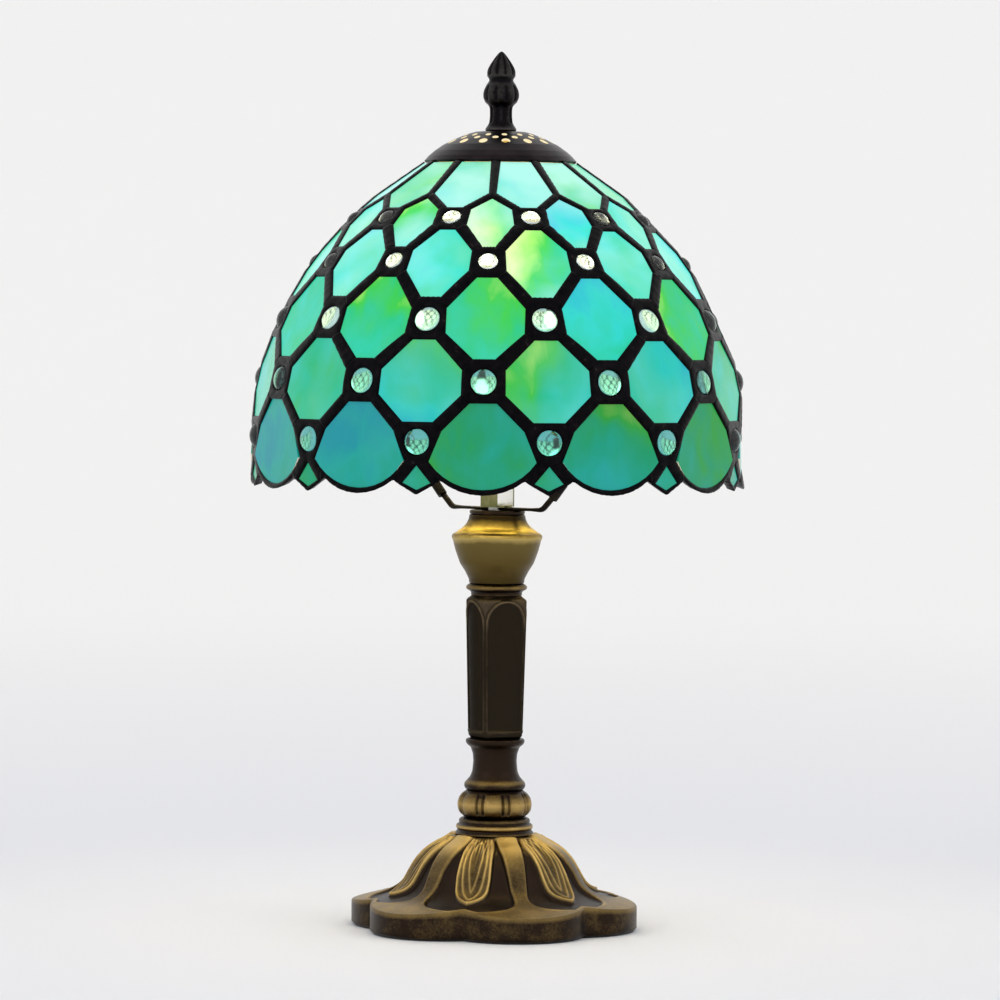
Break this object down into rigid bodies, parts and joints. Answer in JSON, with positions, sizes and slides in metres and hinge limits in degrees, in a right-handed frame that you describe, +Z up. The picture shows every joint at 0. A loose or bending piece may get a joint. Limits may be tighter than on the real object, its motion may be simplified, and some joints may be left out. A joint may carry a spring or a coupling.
{
  "type": "leaded glass table lamp",
  "caption": "Table lamp with a domed leaded glass shade of flat panes and round jewels, a vented cap and finial, a harp, and a cast stand with a lobed foot.",
  "frame": {"origin": "on the table, under the middle of the rod, at the bottom of the foot's pad", "axes": "+Z up along the rod, -Y towards the viewer, +X to the viewer's right"},
  "size_m": [0.255, 0.255, 0.452],
  "materials": {
    "crown_glass": "opalescent sheet glass, pale mint",
    "shoulder_glass": "opalescent sheet glass, teal, green and cream streaks",
    "upper_glass": "opalescent sheet glass, aqua and yellow green",
    "middle_glass": "opalescent sheet glass, green to teal",
    "lower_glass": "opalescent sheet glass, green and aqua",
    "scallop_glass": "opalescent sheet glass, deep green and blue",
    "diamond_glass": "opalescent sheet glass, green",
    "jewel_glass": "clear pale aqua pressed glass",
    "solder": "black patina on solder",
    "dark_bronze": "dark bronze, satin",
    "antique_bronze": "cast metal, dark brown with rubbed gold high spots",
    "brushed_gold": "aged brass, satin",
    "brass_fittings": "turned brass, bright",
    "plated_steel": "zinc plated",
    "yellow_zinc": "yellow passivated zinc plate",
    "harp_steel": "dark bronze coated steel wire",
    "phenolic": "moulded black phenolic",
    "bulb_metal": "rolled aluminium",
    "bulb_envelope": "frosted glass, lit",
    "bulb_mount": "glass mount and filament",
    "felt": "pressed felt",
    "rubber": "moulded rubber"
  },
  "bodies": {
    "root": {"base_pad": "felt", "base_casting": "antique_bronze", "rod_nut": "plated_steel", "rod_washer": "plated_steel", "cord_bushing": "rubber", "lamp_rod": "plated_steel", "foot_collar": "antique_bronze", "knop_casting": "antique_bronze", "waist_casting": "antique_bronze", "column_shaft": "antique_bronze", "vase_ring": "antique_bronze", "vase_cup": "brushed_gold", "cup_lid": "antique_bronze", "harp_saddle": "harp_steel", "harp_ferrules": "harp_steel", "harp_bow": "harp_steel", "harp_seat": "brass_fittings", "socket_bracket": "yellow_zinc", "bracket_screws": "plated_steel", "socket_body": "phenolic", "screw_shell": "brass_fittings", "centre_contact": "brass_fittings", "terminal_screws": "brass_fittings"},
    "bulb": {"bulb_cap": "bulb_metal", "bulb_insulator": "phenolic", "bulb_tip": "bulb_metal", "bulb_glass": "bulb_envelope", "bulb_stem": "bulb_mount"},
    "seat_washer": {"shade_washer": "brass_fittings"},
    "shade": {"shade_top_ring": "brass_fittings", "shade_cap": "dark_bronze", "crown_panes": "crown_glass", "shoulder_panes": "shoulder_glass", "upper_panes": "upper_glass", "middle_panes": "middle_glass", "lower_panes": "lower_glass", "scallop_panes": "scallop_glass", "rim_diamonds": "diamond_glass", "jewels_1": "jewel_glass", "jewels_2": "jewel_glass", "jewels_3": "jewel_glass", "jewels_4": "jewel_glass", "jewels_5": "jewel_glass", "settings_1": "solder", "settings_2": "solder", "settings_3": "solder", "settings_4": "solder", "settings_5": "solder", "crown_seams": "solder", "shoulder_seams": "solder", "upper_seams": "solder", "middle_seams": "solder", "lower_seams": "solder", "scallop_seams": "solder", "diamond_seams": "solder", "rim_bead": "solder"},
    "finial": {"finial": "dark_bronze"}
  },
  "joints": [
    {"name": "bulb_unscrew", "type": "slide", "parent": "root", "child": "bulb", "axis": [0, 0, 1], "range_m": [0, 0.026]},
    {"name": "shade_lift", "type": "slide", "parent": "root", "child": "seat_washer", "axis": [0, 0, 1], "range_m": [0, 0.2]},
    {"name": "shade_turn", "type": "hinge", "parent": "seat_washer", "child": "shade", "pos_m": [0, 0, 0.41], "axis": [0, 0, 1], "continuous": true},
    {"name": "finial_unscrew", "type": "slide", "parent": "shade", "child": "finial", "axis": [0, 0, 1], "range_m": [0, 0.03]}
  ]
}
